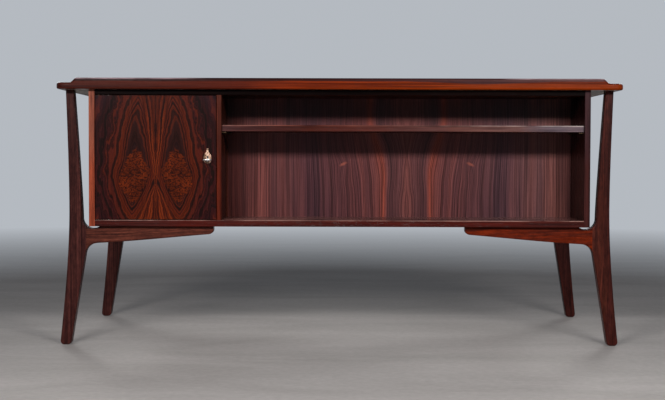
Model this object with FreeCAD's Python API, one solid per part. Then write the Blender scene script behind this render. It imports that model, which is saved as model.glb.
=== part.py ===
import FreeCAD, Part
import os

from FreeCAD import Vector

os.makedirs("parts", exist_ok=True)

# A free-standing writing desk. Millimetres, +Z up, origin on the floor under the middle of the top.
# The bookcase and the bar cabinet face -Y, the sitter's side with its drawers faces +Y.

# Overall sizes
desk_length = 1552.0
desk_depth = 780.0
desk_height = 738.0

# Top: a veneered board with solid wood round its edges, raised to a lip along the bookcase side
board_t = 18.0
lip_rise = 13.0
lipping_w = 22.0
end_edging_w = 12.0
tip_length = 35.0
ogee_length = 24.0
lip_cove_w = 9.0
plan_corner_r = 18.0
edge_round_top = 7.0
edge_round_bottom = 5.0

# Carcass
carcass_end_set_in = 86.0
carcass_side_set_in = 24.0
carcass_height = 377.0
panel_t = 16.0
bottom_t = 18.0
carcass_top_t = 15.0
partition_t = 13.0
middle_panel_t = 12.0
bookcase_depth = 220.0
cabinet_width = 336.0
pedestal_width = 392.0
board_recess = 1.0
board_arris_r = 1.0

# Frame: legs that pass the carcass and arms that branch in under it
leg_t = 32.0
leg_set_in = 43.0
leg_gap = 22.0
knee_w = 36.0
knee_rise = 50.0
foot_w = 30.0
foot_splay = 26.8
foot_corner_r = 10.5
head_w = 22.0
head_splay = 8.5
frame_arris_r = 3.0
flare_above_arm = 22.0
flare_below_arm = 76.5
wider_below_arm = 8.0
arm_dip = 6.5
arm_dip_reach = 29.0
arm_rise_reach = 57.0
arm_reach = 364.0
arm_tip_h = 22.4
arm_tip_r = 14.0
arm_tip_flat = 8.4
arm_root_h = 47.0
arm_root_reach = 46.3
tenon_set_in = 11.0
tenon_length = 30.0
tenon_t = 12.0
tenon_h = 50.0
tenon_drop = 12.0
mortise_spare = 1.0

# Where the handles of the leg's curves lie, as shares of each stretch, and how the stretches lean
outer_low_shares = (0.71, 0.395)
outer_high_shares = (0.306, 0.795)
inner_high_shares = (0.107, 0.811)
foot_outer_lean_share = 0.11
head_outer_lean_share = 0.037
head_inner_lean_share = 0.082
fair_share = 0.55

# Dowels and screws
dowel_r = 6.0
dowel_in_top = 12.0
dowel_in_leg = 28.0
hole_spare = 0.05
screw_r = 2.0
screw_head_r = 4.5
screw_head_h = 2.5
screw_length = 30.0
screw_bite = 12.0
counterbore_r = 5.4
arm_screw_reaches = (72.0, 300.0)
top_screw_length = 25.0
top_screw_set_in = 45.0

# Shelves on pins
shelf_t = 17.0
shelf_above_bottom = 262.0
shelf_set_back = 12.0
shelf_end_gap = 0.5
shelf_back_gap = 2.0
cabinet_shelf_drop = 82.0
pin_r = 3.0
pin_length = 20.0
pin_bite = 8.0
pin_hole_spare = 0.5
pin_inset = 22.0
pin_pitch = 46.0

# Bar cabinet door, its knife hinges and its lock
door_t = 18.0
door_gap = 1.5
hinge_leaf_t = 2.0
hinge_leaf_w = 10.0
hinge_leaf_length = 40.0
hinge_pin_r = 2.0
hinge_pin_fit = 0.06
hinge_washer_r = 3.5
hinge_washer_h = 1.2
hinge_pin_from_edge = 9.0
hinge_pin_from_face = 4.0
key_from_edge = 23.5
key_above_bottom = 166.0
shank_r = 2.5
key_fit = 0.1
collar_r = 4.2
collar_t = 2.0
key_standoff = 0.3
shank_show = 6.0
bow_length = 25.0
bow_depth = 15.0
bow_t = 4.0
bow_ring_w = 4.0
bow_arris_r = 1.2
bit_reach = 10.0
bit_t = 2.0
bit_length = 5.0
keyhole_slot_w = 4.2
keyhole_slot_h = 11.0
plate_t = 1.5
escutcheon_w = 22.0
escutcheon_h = 42.0
escutcheon_below = 10.0
spire_w = 5.5
spire_h = 7.0
lock_case_w = 46.0
lock_case_t = 11.5
lock_case_below = 22.0
lock_case_above = 36.0
lock_wall = 2.0
lock_well_r = 11.6
bolt_h = 11.0
bolt_t = 5.0
bolt_length = 38.0
bolt_above_key = 14.0
bolt_fit = 0.3
bolt_throw = 8.0
bolt_sunk = 0.3
strike_w = 11.0
strike_h = 40.0
strike_pocket_spare = 3.0

# Drawers
drawer_count = 3
drawer_gap = 2.5
drawer_front_t = 20.0
drawer_side_t = 12.0
drawer_back_t = 10.0
drawer_bottom_t = 5.0
drawer_side_gap = 1.5
drawer_rear_gap = 19.0
drawer_side_over_front_low = 6.0
drawer_side_under_front_high = 14.0
drawer_bottom_above = 7.0
drawer_bottom_bite = 5.0
drawer_back_set_in = 8.0
drawer_back_bite = 4.0
runner_h = 14.0
runner_proud = 8.0
runner_front_gap = 27.0
runner_rest_gap = 0.3
runner_groove_h = 15.0
runner_groove_spare = 1.0
tail_count = 3
tail_length = 12.0
tail_root_share = 0.5
tail_end_share = 0.68
grip_sweep_r = 200.0
grip_r = 12.0
grip_from_top = 34.0
undercut_sweep_r = 100.0
undercut_r = 6.5
undercut_in = 9.0
undercut_up = 6.0
undercut_tilt_deg = 35.0

# One overrun for every cut that has to leave a face cleanly
overrun = 5.0

# Levels and faces worked out from the sizes above
half_length = desk_length / 2
half_depth = desk_depth / 2
top_z = desk_height - lip_rise
under_top_z = top_z - board_t
carcass_x = half_length - carcass_end_set_in
carcass_y = half_depth - carcass_side_set_in
carcass_z = under_top_z - carcass_height
inside_x = carcass_x - panel_t
floor_z = carcass_z + bottom_t
ceiling_z = under_top_z - carcass_top_t
middle_front_y = -carcass_y + bookcase_depth
middle_rear_y = middle_front_y + middle_panel_t
partition_left_x = -inside_x + cabinet_width
partition_right_x = partition_left_x + partition_t
knee_outer_x = carcass_x - pedestal_width
pedestal_inside_x = knee_outer_x + panel_t
origin = Vector(0, 0, 0)
along = Vector(0, 1, 0)
up = Vector(0, 0, 1)
sides = (("left", -1), ("right", 1))
ends = (("front", -1), ("rear", 1))


def save(name, *solids):
    """Write one node, a single solid or a group of separate ones."""
    shape = solids[0] if len(solids) == 1 else Part.makeCompound(list(solids))
    shape.exportStep(os.path.join("parts", name + ".step"))


def board(x0, x1, y0, y1, z0, z1):
    """A straight board between two opposite corners, given in either order along X."""
    left, right = min(x0, x1), max(x0, x1)
    return Part.makeBox(right - left, y1 - y0, z1 - z0, Vector(left, y0, z0))


def at_side(shape, sign_x, sign_y=-1):
    """Turn a shape made for the right front corner over to the corner that the signs name."""
    if sign_x < 0:
        shape = shape.mirror(origin, Vector(1, 0, 0))
    if sign_y > 0:
        shape = shape.mirror(origin, Vector(0, 1, 0))
    return shape


def line(a, b):
    return Part.makeLine(Vector(a[0], 0, a[1]), Vector(b[0], 0, b[1]))


def curve(*points):
    """A Bezier curve through the front view, its handles between its two ends."""
    bezier = Part.BezierCurve()
    bezier.setPoles([Vector(x, 0, z) for x, z in points])
    return bezier.toShape()


def slab(edges, y0, y1):
    """A front-view outline, given as edges, drawn out from y0 to y1."""
    wire = Part.Wire(Part.__sortEdges__(edges))
    face = Part.Face(wire)
    face.translate(Vector(0, y0, 0))
    return face.extrude(Vector(0, y1 - y0, 0))


def rounded(shape, radius, wanted):
    """Round the edges for which wanted(edge's box) holds."""
    edges = [edge for edge in shape.Edges if wanted(edge.BoundBox)]
    return shape.makeFillet(radius, edges)


def near(a, b):
    return abs(a - b) < frame_arris_r / 100


def rod(r, length, start, direction):
    return Part.makeCylinder(r, length, start, direction)


# Top board
board_x = half_length - end_edging_w
board_y = half_depth - lipping_w
top_board = board(-board_x, board_x, -board_y, board_y, under_top_z, top_z)

leg_y = half_depth - leg_set_in - leg_t / 2
leg_inner_x = carcass_x + leg_gap
leg_outer_x = leg_inner_x + knee_w
head_outer_x = leg_outer_x + head_splay
head_inner_x = head_outer_x - head_w
head_x = (head_outer_x + head_inner_x) / 2
dowels = []
for sign_x in (-1, 1):
    for sign_y in (-1, 1):
        foot = Vector(sign_x * head_x, sign_y * leg_y, under_top_z - dowel_in_leg)
        dowels.append(rod(dowel_r, dowel_in_leg + dowel_in_top, foot, up))
        hole = rod(dowel_r + hole_spare, dowel_in_leg + dowel_in_top + hole_spare, foot, up)
        top_board = top_board.cut(hole)
save("leg_dowels", *dowels)


def top_screw_places():
    """Screws through the carcass tops, near the panels that carry the load."""
    front_y = -carcass_y + top_screw_set_in
    back_y = middle_front_y - top_screw_set_in
    sitter_y = carcass_y - top_screw_set_in
    inner_y = middle_rear_y + top_screw_set_in
    outer_x = inside_x - top_screw_set_in
    inner_x = pedestal_inside_x + top_screw_set_in
    for sign_x in (-1, 1):
        for x in (outer_x, inner_x):
            for y in (front_y, back_y, inner_y, sitter_y):
                yield sign_x * x, y


def wood_screw(x, y, head_z, length):
    """A countersunk wood screw driven upwards, its head at head_z."""
    head = Part.makeCone(screw_head_r, screw_r, screw_head_h, Vector(x, y, head_z), up)
    return head.fuse(rod(screw_r, length, Vector(x, y, head_z), up))


def screw_hole(x, y, head_z, length):
    """The hole that the screw sits in, with the same countersink."""
    sink = Part.makeCone(screw_head_r + hole_spare, screw_r + hole_spare, screw_head_h,
                         Vector(x, y, head_z), up)
    return sink.fuse(rod(screw_r + hole_spare, length + hole_spare, Vector(x, y, head_z), up))


top_screws = []
top_screw_holes = []
for x, y in top_screw_places():
    top_screws.append(wood_screw(x, y, ceiling_z, top_screw_length))
    top_screw_holes.append(screw_hole(x, y, ceiling_z, top_screw_length))
for hole in top_screw_holes:
    top_board = top_board.cut(hole)
save("top_screws", *top_screws)
save("top_board", top_board)


# Gallery lipping: seen from the front it runs thin at both tips and rises through an ogee to the lip
def gallery_outline():
    lip_x = half_length - tip_length - ogee_length
    tip_x = half_length - tip_length
    swing = ogee_length / 2
    edges = [line((-half_length, under_top_z), (half_length, under_top_z)),
             line((-lip_x, desk_height), (lip_x, desk_height))]
    for sign in (-1, 1):
        edges.append(line((sign * half_length, under_top_z), (sign * half_length, top_z)))
        edges.append(line((sign * half_length, top_z), (sign * tip_x, top_z)))
        edges.append(curve((sign * tip_x, top_z), (sign * (tip_x - swing), top_z),
                           (sign * (lip_x + swing), desk_height), (sign * lip_x, desk_height)))
    return edges


def edging_corners(box, y):
    """The two upright edges at the tips of a long edging, on its outer face y."""
    return near(box.XLength, 0) and near(box.YLength, 0) and near(box.YMin, y)


gallery = slab(gallery_outline(), -half_depth, -board_y)
cove_foot_y = -board_y
cove_top_y = cove_foot_y - lip_cove_w
cove_bezier = Part.BezierCurve()
cove_bezier.setPoles([Vector(-half_length, cove_foot_y, top_z),
                      Vector(-half_length, cove_top_y, top_z),
                      Vector(-half_length, cove_top_y, desk_height)])
cove_corner = Vector(-half_length, cove_foot_y, desk_height)
cove_wire = Part.Wire([cove_bezier.toShape(),
                       Part.makeLine(Vector(-half_length, cove_top_y, desk_height), cove_corner),
                       Part.makeLine(cove_corner, Vector(-half_length, cove_foot_y, top_z))])
gallery = gallery.cut(Part.Face(cove_wire).extrude(Vector(desk_length, 0, 0)))
gallery = rounded(gallery, plan_corner_r, lambda box: edging_corners(box, -half_depth))


def outer_arrises(shape, face_y, low):
    """The arris that runs round the tips and along the outer face of a long edging."""
    found = []
    for edge in shape.Edges:
        box = edge.BoundBox
        is_low = near(box.ZMin, under_top_z) and near(box.ZMax, under_top_z)
        upright = near(box.XLength, 0) and near(box.YLength, 0)
        touches = near(abs(box.YMin), abs(face_y)) or near(abs(box.YMax), abs(face_y))
        at_tip = near(abs(box.XMin), half_length) and near(box.XLength, 0)
        if (touches or at_tip) and not upright and is_low == low:
            found.append(edge)
    return found


def round_edging(shape, face_y):
    """Round a long edging over its outer arrises, the upper one more than the lower one."""
    shape = shape.makeFillet(edge_round_top, outer_arrises(shape, face_y, False))
    return shape.makeFillet(edge_round_bottom, outer_arrises(shape, face_y, True))


gallery = round_edging(gallery, -half_depth)
save("top_gallery_lipping", gallery)

sitter_edging = board(-half_length, half_length, board_y, half_depth, under_top_z, top_z)
sitter_edging = rounded(sitter_edging, plan_corner_r, lambda box: edging_corners(box, half_depth))
save("top_edging_sitter", round_edging(sitter_edging, half_depth))

for side, sign in sides:
    strip = board(sign * board_x, sign * half_length, -board_y, board_y, under_top_z, top_z)
    strip = rounded(strip, edge_round_top, lambda box: near(abs(box.XMin), half_length)
                    and near(box.XLength, 0) and near(box.ZMin, top_z))
    strip = rounded(strip, edge_round_bottom, lambda box: near(abs(box.XMin), half_length)
                    and near(box.XLength, 0) and near(box.ZMax, under_top_z))
    save("top_edging_" + side, strip)


# Frame: leg and arm are shaped together as one flowing outline and parted at their joint
def frame_outline():
    knee_z = carcass_z + knee_rise
    foot_outer_x = leg_outer_x + foot_splay
    foot_inner_x = foot_outer_x - foot_w
    low_x = leg_inner_x - wider_below_arm
    low_z = carcass_z - flare_below_arm
    high_z = carcass_z + flare_above_arm
    head_rise = under_top_z - knee_z
    inner_rise = under_top_z - high_z
    outer_low = [share * knee_z for share in outer_low_shares]
    outer_high = [knee_z + share * head_rise for share in outer_high_shares]
    inner_high = [high_z + share * inner_rise for share in inner_high_shares]
    foot_outer_pull = foot_outer_x - foot_outer_lean_share * outer_low[1]
    head_outer_pull = head_outer_x - head_outer_lean_share * (under_top_z - outer_high[1])
    head_inner_pull = head_inner_x - head_inner_lean_share * (under_top_z - inner_high[1])

    dip_x = leg_inner_x - arm_dip_reach
    dip_z = carcass_z - arm_dip
    rise_x = leg_inner_x - arm_rise_reach
    tip_x = leg_inner_x - arm_reach
    tip_flat_z = carcass_z - arm_tip_flat
    tip_z = carcass_z - arm_tip_h
    belly_x = tip_x + arm_tip_r
    root_x = leg_inner_x - arm_root_reach
    root_z = carcass_z - arm_root_h
    high_drop = high_z - dip_z
    low_ease = (root_z - low_z) * fair_share
    low_lean = (foot_inner_x - low_x) / low_z
    belly_third = (root_x - belly_x) / 3
    belly_drop = tip_z - root_z
    tip_lean = belly_drop / 3 / belly_third
    root_lean = belly_drop / 5 / belly_third
    ease = arm_tip_r * fair_share
    root_ease = arm_root_reach * fair_share
    return [
        line((foot_inner_x, 0), (foot_outer_x, 0)),
        curve((foot_outer_x, 0), (foot_outer_pull, outer_low[1]),
              (leg_outer_x, outer_low[0]), (leg_outer_x, knee_z)),
        curve((leg_outer_x, knee_z), (leg_outer_x, outer_high[0]),
              (head_outer_pull, outer_high[1]), (head_outer_x, under_top_z)),
        line((head_outer_x, under_top_z), (head_inner_x, under_top_z)),
        curve((head_inner_x, under_top_z), (head_inner_pull, inner_high[1]),
              (leg_inner_x, inner_high[0]), (leg_inner_x, high_z)),
        curve((leg_inner_x, high_z), (leg_inner_x, high_z - high_drop * fair_share),
              (dip_x + arm_dip_reach * fair_share, dip_z), (dip_x, dip_z)),
        curve((dip_x, dip_z), (dip_x - (dip_x - rise_x) * fair_share, dip_z),
              (rise_x + (dip_x - rise_x) * fair_share, carcass_z), (rise_x, carcass_z)),
        line((rise_x, carcass_z), (tip_x, carcass_z)),
        line((tip_x, carcass_z), (tip_x, tip_flat_z)),
        curve((tip_x, tip_flat_z), (tip_x, tip_flat_z - ease),
              (belly_x - ease, tip_z + ease * tip_lean), (belly_x, tip_z)),
        curve((belly_x, tip_z), (belly_x + belly_third, tip_z - belly_third * tip_lean),
              (root_x - belly_third, root_z + belly_third * root_lean), (root_x, root_z)),
        curve((root_x, root_z), (root_x + root_ease, root_z - root_ease * root_lean),
              (low_x - low_ease * low_lean, low_z + low_ease), (low_x, low_z)),
        line((low_x, low_z), (foot_inner_x, 0)),
    ]


leg_front_y = -half_depth + leg_set_in
leg_rear_y = leg_front_y + leg_t
frame = slab(frame_outline(), leg_front_y, leg_rear_y)
frame = rounded(frame, foot_corner_r, lambda box: near(box.ZMax, 0) and near(box.XLength, 0))
frame = rounded(frame, frame_arris_r, lambda box: near(box.YLength, 0)
                and not (near(box.ZMin, under_top_z) or near(box.ZMin, carcass_z) and near(box.ZLength, 0)))

joint_x = leg_inner_x - tenon_set_in
arm_space = board(0, joint_x, leg_front_y - overrun, leg_rear_y + overrun, 0, under_top_z)
tenon_top = carcass_z - tenon_drop
tenon_y = (leg_front_y + leg_rear_y) / 2
tenon = board(joint_x, joint_x + tenon_length, tenon_y - tenon_t / 2, tenon_y + tenon_t / 2,
              tenon_top - tenon_h, tenon_top)
mortise = board(joint_x - overrun, joint_x + tenon_length + mortise_spare, tenon_y - tenon_t / 2,
                tenon_y + tenon_t / 2, tenon_top - tenon_h, tenon_top)
arm = frame.common(arm_space).fuse(tenon).removeSplitter()
leg = frame.cut(arm_space).cut(mortise)
dowel_hole = rod(dowel_r + hole_spare, dowel_in_leg + hole_spare,
                 Vector(head_x, -leg_y, under_top_z - dowel_in_leg - hole_spare), up)
leg = leg.cut(dowel_hole)

arm_screw_head_z = carcass_z + screw_bite - screw_length
arm_screws = []
arm_screw_holes = []
for reach in arm_screw_reaches:
    screw_x = leg_inner_x - reach
    arm_screws.append(wood_screw(screw_x, -leg_y, arm_screw_head_z, screw_length))
    hole = screw_hole(screw_x, -leg_y, arm_screw_head_z, screw_length)
    arm_screw_holes.append(hole)
    counterbore_z = carcass_z - arm_root_h - overrun
    counterbore = rod(counterbore_r, arm_screw_head_z - counterbore_z,
                      Vector(screw_x, -leg_y, counterbore_z), up)
    arm = arm.cut(hole).cut(counterbore)
all_arm_screws = []
all_arm_screw_holes = []
for end, sign_y in ends:
    for side, sign_x in sides:
        save("leg_" + end + "_" + side, at_side(leg, sign_x, sign_y))
        save("arm_" + end + "_" + side, at_side(arm, sign_x, sign_y))
        all_arm_screws += [at_side(screw, sign_x, sign_y) for screw in arm_screws]
        all_arm_screw_holes += [at_side(hole, sign_x, sign_y) for hole in arm_screw_holes]
save("arm_screws", *all_arm_screws)


def drilled(shape, holes):
    """Drill only the holes that reach into the shape."""
    for hole in holes:
        if hole.BoundBox.intersect(shape.BoundBox):
            shape = shape.cut(hole)
    return shape


def front_eased(shape, face_y):
    """Take the sharpness off the long front arrises of a board."""
    def front_edge(box):
        lengthwise = max(box.XLength, box.ZLength) > board_t + panel_t
        return near(box.YMin, face_y) and near(box.YMax, face_y) and lengthwise
    return rounded(shape, board_arris_r, front_edge)


# Shelf pins and their rows of holes, three levels at each place so that the shelf can be moved
pin_front_y = -carcass_y + pin_inset
cabinet_pin_front_y = pin_front_y + door_t
pin_rear_y = middle_front_y - pin_inset
bookcase_shelf_z = floor_z + shelf_above_bottom
bookcase_pin_z = bookcase_shelf_z - shelf_t - pin_r
cabinet_pin_z = bookcase_pin_z - cabinet_shelf_drop
shelf_pins = []
pin_holes = []
for wall_x, outward, front_pin_y, pin_z in ((-inside_x, 1, cabinet_pin_front_y, cabinet_pin_z),
                                            (partition_left_x, -1, cabinet_pin_front_y, cabinet_pin_z),
                                            (partition_right_x, 1, pin_front_y, bookcase_pin_z),
                                            (inside_x, -1, pin_front_y, bookcase_pin_z)):
    into_room = Vector(outward, 0, 0)
    for pin_y in (front_pin_y, pin_rear_y):
        pin_start = Vector(wall_x - outward * pin_bite, pin_y, pin_z)
        shelf_pins.append(rod(pin_r, pin_length, pin_start, into_room))
        for step in (-1, 0, 1):
            hole_x = wall_x - outward * (pin_bite + pin_hole_spare)
            bottom = Vector(hole_x, pin_y, pin_z + step * pin_pitch)
            pin_holes.append(rod(pin_r + hole_spare, pin_bite + pin_hole_spare + overrun, bottom, into_room))
save("shelf_pins", *shelf_pins)

for name, left_x, right_x, surface_z in (
        ("bookcase_shelf", partition_right_x, inside_x, bookcase_shelf_z),
        ("cabinet_shelf", -inside_x, partition_left_x, bookcase_shelf_z - cabinet_shelf_drop)):
    shelf_front_y = -carcass_y + shelf_set_back
    if name == "cabinet_shelf":
        shelf_front_y += door_t
    shelf = board(left_x + shelf_end_gap, right_x - shelf_end_gap, shelf_front_y,
                  middle_front_y - shelf_back_gap, surface_z - shelf_t, surface_z)
    save(name, front_eased(shelf, shelf_front_y))

# Lock bolt's way into the partition and its strike plate
board_front_y = -carcass_y + board_recess
door_face_y = board_front_y
door_inner_y = door_face_y + door_t
door_left_x = -inside_x + door_gap
door_right_x = partition_left_x - door_gap
door_low_z = floor_z + door_gap
door_high_z = ceiling_z - door_gap
key_x = door_right_x - key_from_edge
key_z = floor_z + key_above_bottom
lock_y = door_inner_y - lock_case_t / 2
bolt_low_z = key_z + bolt_above_key
bolt_high_z = bolt_low_z + bolt_h
bolt_right_x = door_right_x - bolt_sunk
strike_z = (bolt_low_z + bolt_high_z) / 2
strike = board(partition_left_x, partition_left_x + plate_t, lock_y - strike_w / 2, lock_y + strike_w / 2,
               strike_z - strike_h / 2, strike_z + strike_h / 2)
strike_pocket = board(partition_left_x - overrun, bolt_right_x + bolt_throw + strike_pocket_spare,
                      lock_y - bolt_t / 2 - bolt_fit * 2, lock_y + bolt_t / 2 + bolt_fit * 2,
                      bolt_low_z - bolt_fit * 2, bolt_high_z + bolt_fit * 2)
save("strike_plate", strike.cut(strike_pocket))

# Carcass boards
for side, sign in sides:
    panel = board(sign * inside_x, sign * carcass_x, -carcass_y, carcass_y, carcass_z, under_top_z)
    panel = front_eased(drilled(panel, pin_holes), -carcass_y)
    save("side_panel_" + side, front_eased(panel, carcass_y))

partition = board(partition_left_x, partition_right_x, board_front_y, middle_front_y, floor_z, ceiling_z)
partition = front_eased(drilled(partition, pin_holes), board_front_y)
save("cabinet_partition", partition.cut(strike_pocket).cut(strike))

middle = board(-inside_x, inside_x, middle_front_y, middle_rear_y, floor_z, ceiling_z)
save("middle_panel", middle)

# Knife hinges: each has a leaf let into the carcass with its pin, and a leaf let into the door
hinge_x = door_left_x + hinge_pin_from_edge
hinge_y = door_face_y + hinge_pin_from_face
leaf_left_x = hinge_x - hinge_leaf_w / 2
leaf_front_y = hinge_y - hinge_pin_r - plate_t / 2
leaf_rear_y = leaf_front_y + hinge_leaf_w


def hinge_pair(seat_z, away):
    """Fixed leaf, moving leaf and their pockets, for a seat whose free side faces away."""
    def leaf(near_z, far_z):
        return board(leaf_left_x, leaf_left_x + hinge_leaf_length, leaf_front_y, leaf_rear_y,
                     min(near_z, far_z), max(near_z, far_z))
    fixed = leaf(seat_z - away * hinge_leaf_t, seat_z)
    pin_start = Vector(hinge_x, hinge_y, seat_z - away * hinge_leaf_t)
    pin_way = Vector(0, 0, away)
    fixed = fixed.fuse(rod(hinge_pin_r, hinge_leaf_t + door_gap + hinge_leaf_t, pin_start, pin_way))
    fixed = fixed.fuse(rod(hinge_washer_r, hinge_washer_h, Vector(hinge_x, hinge_y, seat_z), pin_way))
    moving_z = seat_z + away * door_gap
    moving = leaf(moving_z, moving_z + away * hinge_leaf_t)
    moving = moving.cut(rod(hinge_pin_r + hinge_pin_fit, hinge_leaf_t * 4, pin_start, pin_way))
    door_pocket = leaf(moving_z, moving_z + away * hinge_leaf_t)
    pin_pocket = rod(hinge_pin_r + bolt_fit, hinge_leaf_t * 4, pin_start, pin_way)
    seat_pocket = leaf(seat_z - away * hinge_leaf_t, seat_z)
    return fixed.removeSplitter(), moving, seat_pocket, door_pocket.fuse(pin_pocket)


low_hinge = hinge_pair(floor_z, 1)
high_hinge = hinge_pair(ceiling_z, -1)
save("hinge_plates_carcass", low_hinge[0], high_hinge[0])
save("hinge_plates_door", low_hinge[1], high_hinge[1])

bookcase_bottom = board(-inside_x, inside_x, board_front_y, middle_rear_y, carcass_z, floor_z)
bookcase_bottom = front_eased(bookcase_bottom, board_front_y)
bookcase_bottom = drilled(bookcase_bottom, all_arm_screw_holes).cut(low_hinge[2])
save("bookcase_bottom", bookcase_bottom)

bookcase_top = board(-inside_x, inside_x, board_front_y, middle_rear_y, ceiling_z, under_top_z)
bookcase_top = front_eased(bookcase_top, board_front_y)
save("bookcase_top", drilled(bookcase_top, top_screw_holes).cut(high_hinge[2]))

for side, sign in sides:
    near_x, far_x = sign * pedestal_inside_x, sign * inside_x
    front_y = carcass_y - board_recess
    bottom = board(near_x, far_x, middle_rear_y, front_y, carcass_z, floor_z)
    bottom = drilled(front_eased(bottom, front_y), all_arm_screw_holes)
    save("pedestal_bottom_" + side, bottom)
    top = board(near_x, far_x, middle_rear_y, front_y, ceiling_z, under_top_z)
    save("pedestal_top_" + side, drilled(front_eased(top, front_y), top_screw_holes))
    knee = board(sign * knee_outer_x, near_x, middle_rear_y, carcass_y, carcass_z, under_top_z)
    save("knee_panel_" + side, front_eased(knee, carcass_y))


# Door, with the lock let in from behind and the escutcheon on its face
def key_slot(y0, y1, r, slot_w):
    """Keyhole through y0 to y1: round for the shank, with a slot above it for the bit."""
    start = Vector(key_x, y0, key_z)
    slot_top = key_z + keyhole_slot_h - slot_w / 2
    hole = rod(r, y1 - y0, start, along)
    hole = hole.fuse(board(key_x - slot_w / 2, key_x + slot_w / 2, y0, y1, key_z, slot_top))
    return hole.fuse(rod(slot_w / 2, y1 - y0, Vector(key_x, y0, slot_top), along))


case_front_y = door_inner_y - lock_case_t
case_left_x = door_right_x - lock_case_w
case = board(case_left_x, door_right_x, case_front_y, door_inner_y,
             key_z - lock_case_below, key_z + lock_case_above)
lock_pocket = case.copy()
well = rod(lock_well_r, lock_case_t - lock_wall * 2,
           Vector(key_x, case_front_y + lock_wall, key_z), along)
bolt_way = board(bolt_right_x - bolt_length - bolt_fit, door_right_x + overrun,
                 lock_y - bolt_t / 2 - bolt_fit, lock_y + bolt_t / 2 + bolt_fit,
                 bolt_low_z - bolt_fit, bolt_high_z + bolt_fit)
case = case.cut(well).cut(bolt_way)
case = case.cut(key_slot(case_front_y - overrun, case_front_y + lock_wall + key_fit, shank_r + key_fit,
                         keyhole_slot_w))
save("lock_case", case)

bolt = board(bolt_right_x - bolt_length, bolt_right_x, lock_y - bolt_t / 2, lock_y + bolt_t / 2,
             bolt_low_z, bolt_high_z)
save("lock_bolt", bolt)

door = board(door_left_x, door_right_x, door_face_y, door_inner_y, door_low_z, door_high_z)
door = front_eased(door, door_face_y)
door = door.cut(lock_pocket).cut(low_hinge[3]).cut(high_hinge[3])
door = door.cut(key_slot(door_face_y - overrun, case_front_y, shank_r + bolt_fit, keyhole_slot_w))
save("door_panel", door)


# Escutcheon: a bell-shaped brass plate that runs up into a short spire
def escutcheon_outline():
    low_z = key_z - escutcheon_below
    high_z = low_z + escutcheon_h
    belly_z = key_z + escutcheon_below / 2
    neck_z = high_z - spire_h
    half = escutcheon_w / 2
    neck = spire_w / 2
    shoulder = (neck_z - belly_z) / 2
    edges = []
    for sign in (-1, 1):
        edges.append(curve((key_x, low_z), (key_x + sign * half, low_z),
                           (key_x + sign * half, key_z), (key_x + sign * half, belly_z)))
        edges.append(curve((key_x + sign * half, belly_z), (key_x + sign * half, belly_z + shoulder),
                           (key_x + sign * neck, neck_z - shoulder / 2), (key_x + sign * neck, neck_z)))
        edges.append(curve((key_x + sign * neck, neck_z), (key_x + sign * neck, high_z),
                           (key_x, high_z)))
    return edges


plate_front_y = door_face_y - plate_t
escutcheon = slab(escutcheon_outline(), plate_front_y, door_face_y)
escutcheon = rounded(escutcheon, plate_t / 2, lambda box: near(box.YMax, plate_front_y))
escutcheon = escutcheon.cut(key_slot(plate_front_y - overrun, door_face_y + overrun,
                                     shank_r + bolt_fit, keyhole_slot_w))
save("escutcheon", escutcheon)

# Key: an oval ring bow, a collar, a round shank and a bit, lying level
collar_y = plate_front_y - key_standoff - collar_t
bow_y = collar_y - shank_show - bow_depth / 2 + bow_ring_w / 2
shank_end_y = door_inner_y - lock_wall - bolt_fit
shank_start_y = collar_y - shank_show
key = rod(shank_r, shank_end_y - shank_start_y, Vector(key_x, shank_start_y, key_z), along)
key = key.fuse(rod(collar_r, collar_t, Vector(key_x, collar_y, key_z), along))
bow_centre = Vector(key_x, bow_y, key_z - bow_t / 2)
outer_oval = Part.Ellipse(bow_centre, bow_length / 2, bow_depth / 2).toShape()
inner_oval = Part.Ellipse(bow_centre, bow_length / 2 - bow_ring_w, bow_depth / 2 - bow_ring_w).toShape()
bow = Part.Face(Part.Wire(outer_oval)).extrude(Vector(0, 0, bow_t))
bow = bow.cut(Part.Face(Part.Wire(inner_oval)).extrude(Vector(0, 0, bow_t)))
bow = bow.makeFillet(bow_arris_r, [edge for edge in bow.Edges if near(edge.BoundBox.ZLength, 0)])
bit_y = (case_front_y + door_inner_y) / 2
bit = board(key_x - bit_reach, key_x, bit_y - bit_length / 2, bit_y + bit_length / 2,
            key_z - bit_t / 2, key_z + bit_t / 2)
save("key", key.fuse(bow).fuse(bit).removeSplitter())


# Drawers: front with dovetail sockets and a carved grip, two sides and a back, and a thin bottom
front_h = (ceiling_z - floor_z - (drawer_count + 1) * drawer_gap) / drawer_count
drawer_face_y = carcass_y - board_recess
drawer_joint_y = drawer_face_y - drawer_front_t
drawer_rear_y = middle_rear_y + drawer_rear_gap
runner_front_y = drawer_joint_y - runner_front_gap
drawer_levels = ("lower", "middle", "top")
box_left_x = pedestal_inside_x + drawer_side_gap
box_right_x = inside_x - drawer_side_gap


def gouge(deepest, r, sweep_r, tilt_deg):
    """The ring that a round gouge would cut, swung on a wide radius and deepest at one point."""
    ring = Part.makeTorus(sweep_r, r, deepest + along * sweep_r, up)
    return ring.rotate(deepest, Vector(-1, 0, 0), tilt_deg)


def tails(x0, x1, low_z, high_z):
    """Dovetails on the end of a drawer side, wider at their tips than at their roots."""
    pitch = (high_z - low_z) / tail_count
    found = []
    for index in range(tail_count):
        middle_z = low_z + pitch * index + pitch / 2
        root = pitch * tail_root_share / 2
        tip = pitch * tail_end_share / 2
        points = [Vector(x0, drawer_joint_y, middle_z - root), Vector(x0, drawer_joint_y, middle_z + root),
                  Vector(x0, drawer_joint_y + tail_length, middle_z + tip),
                  Vector(x0, drawer_joint_y + tail_length, middle_z - tip)]
        face = Part.Face(Part.makePolygon(points + points[:1]))
        found.append(face.extrude(Vector(x1 - x0, 0, 0)))
    return found


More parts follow.
